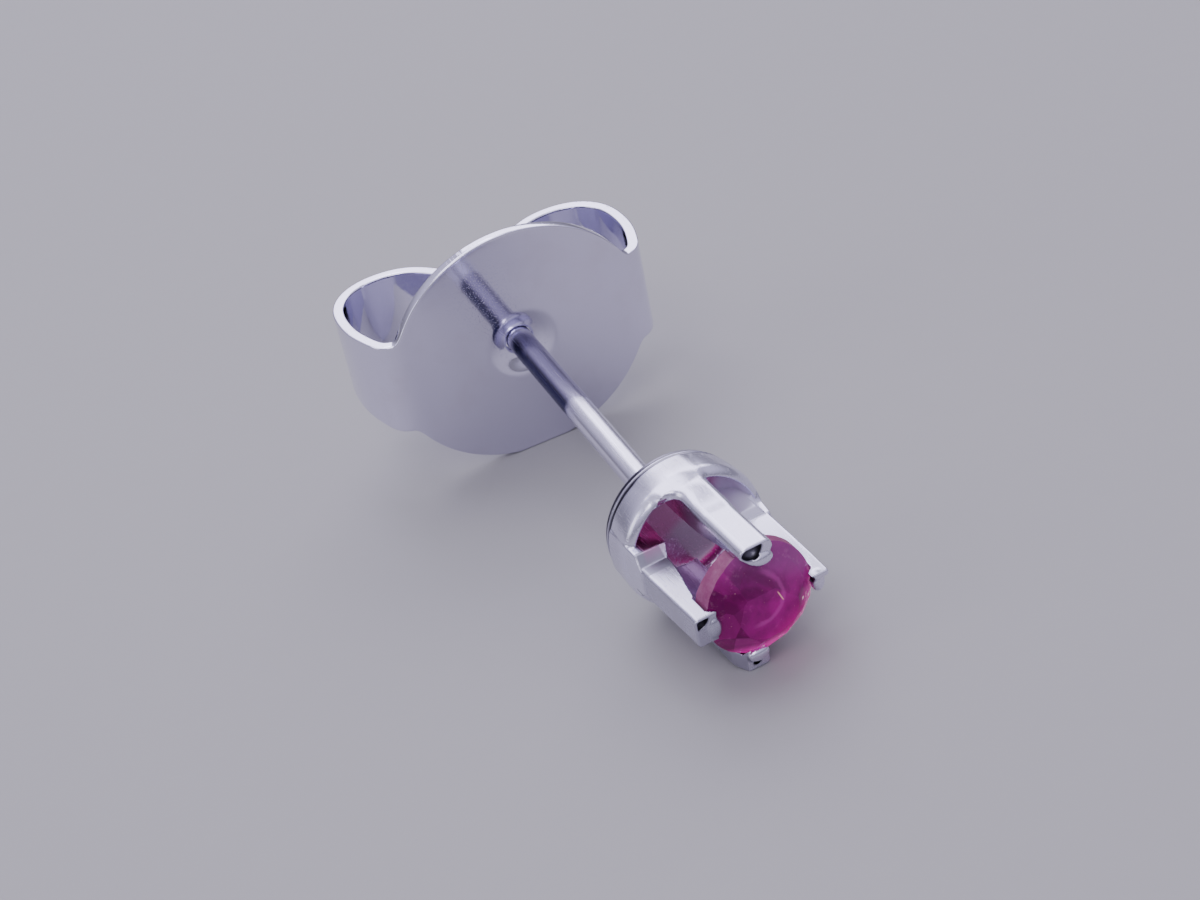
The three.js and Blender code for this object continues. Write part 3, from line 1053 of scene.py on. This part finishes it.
def strip_path():
    """The strip's middle line from scroll to scroll, the distance along it and its half length."""
    start = SCROLL[0][0]
    curl, curl_length = spline(SCROLL, 150)
    flat = np.linspace(0, start, 55)[:-1]
    flat = flat * (EYE / flat[np.argmin(abs(flat - EYE))])
    flat = flat[flat < start - 0.02]
    path = np.concatenate([np.stack([flat, np.zeros_like(flat)], -1), curl])
    s = np.concatenate([flat, start + np.linspace(0, curl_length, len(curl))])
    path = np.concatenate([path[:0:-1] * (-1, 1), path])
    return path, np.concatenate([-s[:0:-1], s]), curl_length + start


def strip_section(tall, inner, inset, thin):
    """The blank cut across, as [height, depth]: front face, top edge, back face, low edge."""
    low_edge = min(tall, PLATE_FLAT)
    top = np.linspace(inner, tall - inset, OUTER_ROWS + 1)[1:]
    bottom = -np.linspace(inner, low_edge - inset, OUTER_ROWS + 1)[1:][::-1]
    middle = np.linspace(-inner, inner, EYE_ROWS + 1)
    face = np.concatenate([bottom, middle, top])
    turn = np.linspace(0, math.pi, EDGE_POINTS + 2)[1:-1]
    rise = inset * np.sin(turn) ** EDGE_FLATNESS
    side = -np.sign(np.cos(turn)) * np.abs(np.cos(turn)) ** EDGE_FLATNESS * thin
    front = np.stack([face, np.full_like(face, -thin)], -1)
    bulge_top = np.stack([tall - inset + rise, side], -1)
    back = np.stack([face[::-1], np.full_like(face, thin)], -1)
    bulge_low = np.stack([-(low_edge - inset) - rise, -side], -1)
    return np.concatenate([front, bulge_top, back, bulge_low])


def bent_strip(path, s, half_length):
    """Sections of the blank, one at every station of the bent path."""
    along = np.gradient(path, axis=0)
    along /= np.linalg.norm(along, axis=1)[:, None]
    behind = np.stack([-along[:, 1], along[:, 0]], -1)
    tall = half_height(np.abs(s), path[:, 1])
    inset = EDGE_ROUNDING * np.sqrt(1 + np.gradient(tall, s) ** 2).clip(1, 2.2)
    ends = np.clip((half_length - np.abs(s)) / 0.12, 0, 1)
    thin = STRIP / 2 * np.sqrt(1 - (1 - ends) ** 2 * 0.85)
    inner = np.minimum(EYE, 0.85 * tall)
    sections = np.array([strip_section(*sizes) for sizes in zip(tall, inner, inset, thin)])
    height, offset = sections[..., 0], sections[..., 1]
    x = path[:, None, 0] + behind[:, None, 0] * offset
    y = path[:, None, 1] + behind[:, None, 1] * offset
    return np.stack([x, y, height], -1)


def strip_quads(index, eye_from, eye_to):
    """Quads round and along the strip, apart from the square round the hole on both faces."""
    around = index.shape[1]
    back_row = around - EDGE_POINTS - 1
    quads = []
    for i in range(len(index) - 1):
        in_eye = eye_from <= i < eye_to
        for j in range(around):
            k = (j + 1) % around
            mirrored_row = back_row - j if j > FACE_POINTS else -1
            front_hole = in_eye and EYE_LOW <= j < EYE_HIGH
            back_hole = in_eye and EYE_LOW <= mirrored_row - 1 < EYE_HIGH
            if not front_hole and not back_hole:
                quads.append((index[i, j], index[i, k], index[i + 1, k], index[i + 1, j]))
    return quads


def square_outline(index, eye_from, eye_to, column):
    """Outline of the square round the hole, on the face whose row numbers the column gives."""
    rows = list(range(EYE_LOW, EYE_HIGH + 1))
    outline = [(eye_from, r) for r in rows]
    outline += [(i, EYE_HIGH) for i in range(eye_from + 1, eye_to + 1)]
    outline += [(eye_to, r) for r in rows[::-1][1:]]
    outline += [(i, EYE_LOW) for i in range(eye_to - 1, eye_from, -1)]
    return np.array([index[i, column(r)] for i, r in outline])


def hole_rings(points, outlines):
    """Fills both squares with rings that turn into the round hole, and joins them through it."""
    made_rings = []
    extra = []
    total = len(points)
    for outline in outlines:
        outer = points[outline]
        angle = np.arctan2(outer[:, 2], outer[:, 0])
        circle = np.stack([np.cos(angle), np.zeros_like(angle), np.sin(angle)], -1) * HOLE_RADIUS
        circle[:, 1] = outer[:, 1]
        numbers = [outline]
        for step in range(1, RINGS + 1):
            ring = outer + (circle - outer) * (step / RINGS)
            extra.append(ring)
            numbers.append(np.arange(total, total + len(ring)))
            total += len(ring)
        made_rings.append(numbers)
    front, back = made_rings
    quads = []
    for m in range(len(outlines[0])):
        n = (m + 1) % len(outlines[0])
        for a, b in zip(front, front[1:]):
            quads.append((a[m], a[n], b[n], b[m]))
        for a, b in zip(back, back[1:]):
            quads.append((a[m], b[m], b[n], a[n]))
        a, b = front[-1], back[-1]
        quads.append((a[m], a[n], b[n], b[m]))
    return np.concatenate([points, *extra]), quads


def press_funnel(points):
    """The funnel pressed into the plate round the hole."""
    r = np.hypot(points[:, 0], points[:, 2])
    near = smooth_step((FUNNEL_RADIUS - r) / (FUNNEL_RADIUS - HOLE_RADIUS))
    centre = (np.abs(points[:, 1]) < STRIP) & (r < FUNNEL_RADIUS)
    points[:, 1] += np.where(centre, FUNNEL_DEPTH * near, 0.0)


def build_butterfly():
    path, s, half_length = strip_path()
    strip = bent_strip(path, s, half_length)
    index = np.arange(strip.shape[0] * strip.shape[1]).reshape(strip.shape[:2])
    middle = len(s) // 2
    eye = int(np.argmin(abs(s[middle:] - EYE)))
    square = (middle - eye, middle + eye)
    back_row = strip.shape[1] - EDGE_POINTS - 1
    columns = (lambda row: row, lambda row: back_row - row)
    outlines = [square_outline(index, *square, column) for column in columns]
    quads = strip_quads(index, *square)
    points, hole_quads = hole_rings(strip.reshape(-1, 3), outlines)
    caps = [tuple(index[0][::-1]), tuple(index[-1])]
    press_funnel(points)
    points[:, 1] += PLATE_MIDDLE
    silver = pressed_silver("pressed_silver")
    made = piece(
        "scroll_back", points, quads + hole_quads + caps, POST_PLACE, [silver], "back",
        "butterfly_back",
    )
    work = bmesh.new()
    work.from_mesh(made.data)
    bmesh.ops.recalc_face_normals(work, faces=work.faces)
    work.to_mesh(made.data)
    work.free()
    smooth_faces(made.data)


# ---- floor, light and camera ----
FLOOR_HALF = 15.0  # metres
WORLD_TONES = (  # height above the horizon and colour, greyer low down
    (0.0, (0.26, 0.25, 0.29)),
    (0.15, (0.30, 0.29, 0.35)),
    (0.5, (0.76, 0.73, 0.95)),
    (1.0, (0.86, 0.84, 1.0)),
)
CAMERA_PLACE = Vector((-16.03, -54.45, 34.76)) * MM
CAMERA_AZIMUTH = math.radians(16.38)
CAMERA_DOWN = math.radians(29.80)
CAMERA_ROLL = math.radians(-14.40)
CAMERA_LENS = 71.2


def build_floor():
    finish = Finish("pale_floor")
    here = finish.node("ShaderNodeTexCoord", out="Object")
    grain = finish.noise(here, 900.0, detail=3.0)
    tone = finish.mix(grain * 0.2, colour(0.37, 0.36, 0.37), colour(0.33, 0.32, 0.34))
    pale = finish.done({"Base Color": tone, "Roughness": 0.7})
    mesh = bpy.data.meshes.new("floor")
    half = FLOOR_HALF
    corners = [(-half, -half, 0), (half, -half, 0), (half, half, 0), (-half, half, 0)]
    mesh.from_pydata(corners, [], [(0, 1, 2, 3)])
    mesh.materials.append(pale)
    floor = bpy.data.objects.new("floor", mesh)
    bpy.context.scene.collection.objects.link(floor)


def softbox(name, place, width, height, power, tint):
    """A lamp with a rectangular face, aimed at the stud."""
    lamp = bpy.data.lights.new(name, "AREA")
    lamp.shape = "RECTANGLE"
    lamp.size = width
    lamp.size_y = height
    lamp.energy = power
    lamp.color = tint
    made = bpy.data.objects.new(name, lamp)
    made.location = place
    made.rotation_euler = (-Vector(place)).to_track_quat("-Z", "Y").to_euler()
    bpy.context.scene.collection.objects.link(made)


def build_light():
    """A bright lavender-white tent overhead and four softboxes."""
    world = bpy.data.worlds.new("studio")
    bpy.context.scene.world = world
    world.use_nodes = True
    tent = Nodes(world.node_tree)
    direction = tent.node("ShaderNodeTexCoord", out="Generated")
    height = tent.parts(direction)[2]
    shade = tent.node("ShaderNodeValToRGB", dict(stops=WORLD_TONES), {"Fac": height})
    glow = tent.node("ShaderNodeBackground", {}, {"Color": shade, "Strength": 0.9})
    output = tent.tree.nodes.new("ShaderNodeOutputWorld")
    tent.tree.links.new(glow.socket, output.inputs["Surface"])
    softbox("overhead", (-0.03, 0.10, 0.26), 0.22, 0.20, 0.38, (0.86, 0.85, 1.0))
    softbox("behind", (0.12, 0.26, 0.22), 0.30, 0.16, 0.46, (0.88, 0.86, 1.0))
    softbox("left", (-0.28, 0.02, 0.12), 0.12, 0.16, 0.10, (0.93, 0.93, 1.0))
    softbox("front", (-0.10, -0.15, 0.20), 0.13, 0.10, 0.17, (0.97, 0.96, 1.0))


def build_camera():
    level = math.cos(CAMERA_DOWN)
    forward = Vector((
        math.sin(CAMERA_AZIMUTH) * level,
        math.cos(CAMERA_AZIMUTH) * level,
        -math.sin(CAMERA_DOWN),
    ))
    right = forward.cross(Vector((0, 0, 1))).normalized()
    up = right.cross(forward)
    c, s = math.cos(CAMERA_ROLL), math.sin(CAMERA_ROLL)
    right, up = c * right + s * up, c * up - s * right
    data = bpy.data.cameras.new("camera")
    data.sensor_width = 36.0
    data.lens = CAMERA_LENS
    data.clip_start = 0.001
    data.clip_end = 100.0
    camera = bpy.data.objects.new("camera", data)
    turn = Matrix((right, up, -forward)).transposed().to_4x4()
    camera.matrix_world = Matrix.Translation(CAMERA_PLACE) @ turn
    bpy.context.scene.collection.objects.link(camera)
    bpy.context.scene.camera = camera


build_camera()
build_floor()
build_light()
build_cup()
build_post()
build_ruby()
build_butterfly()
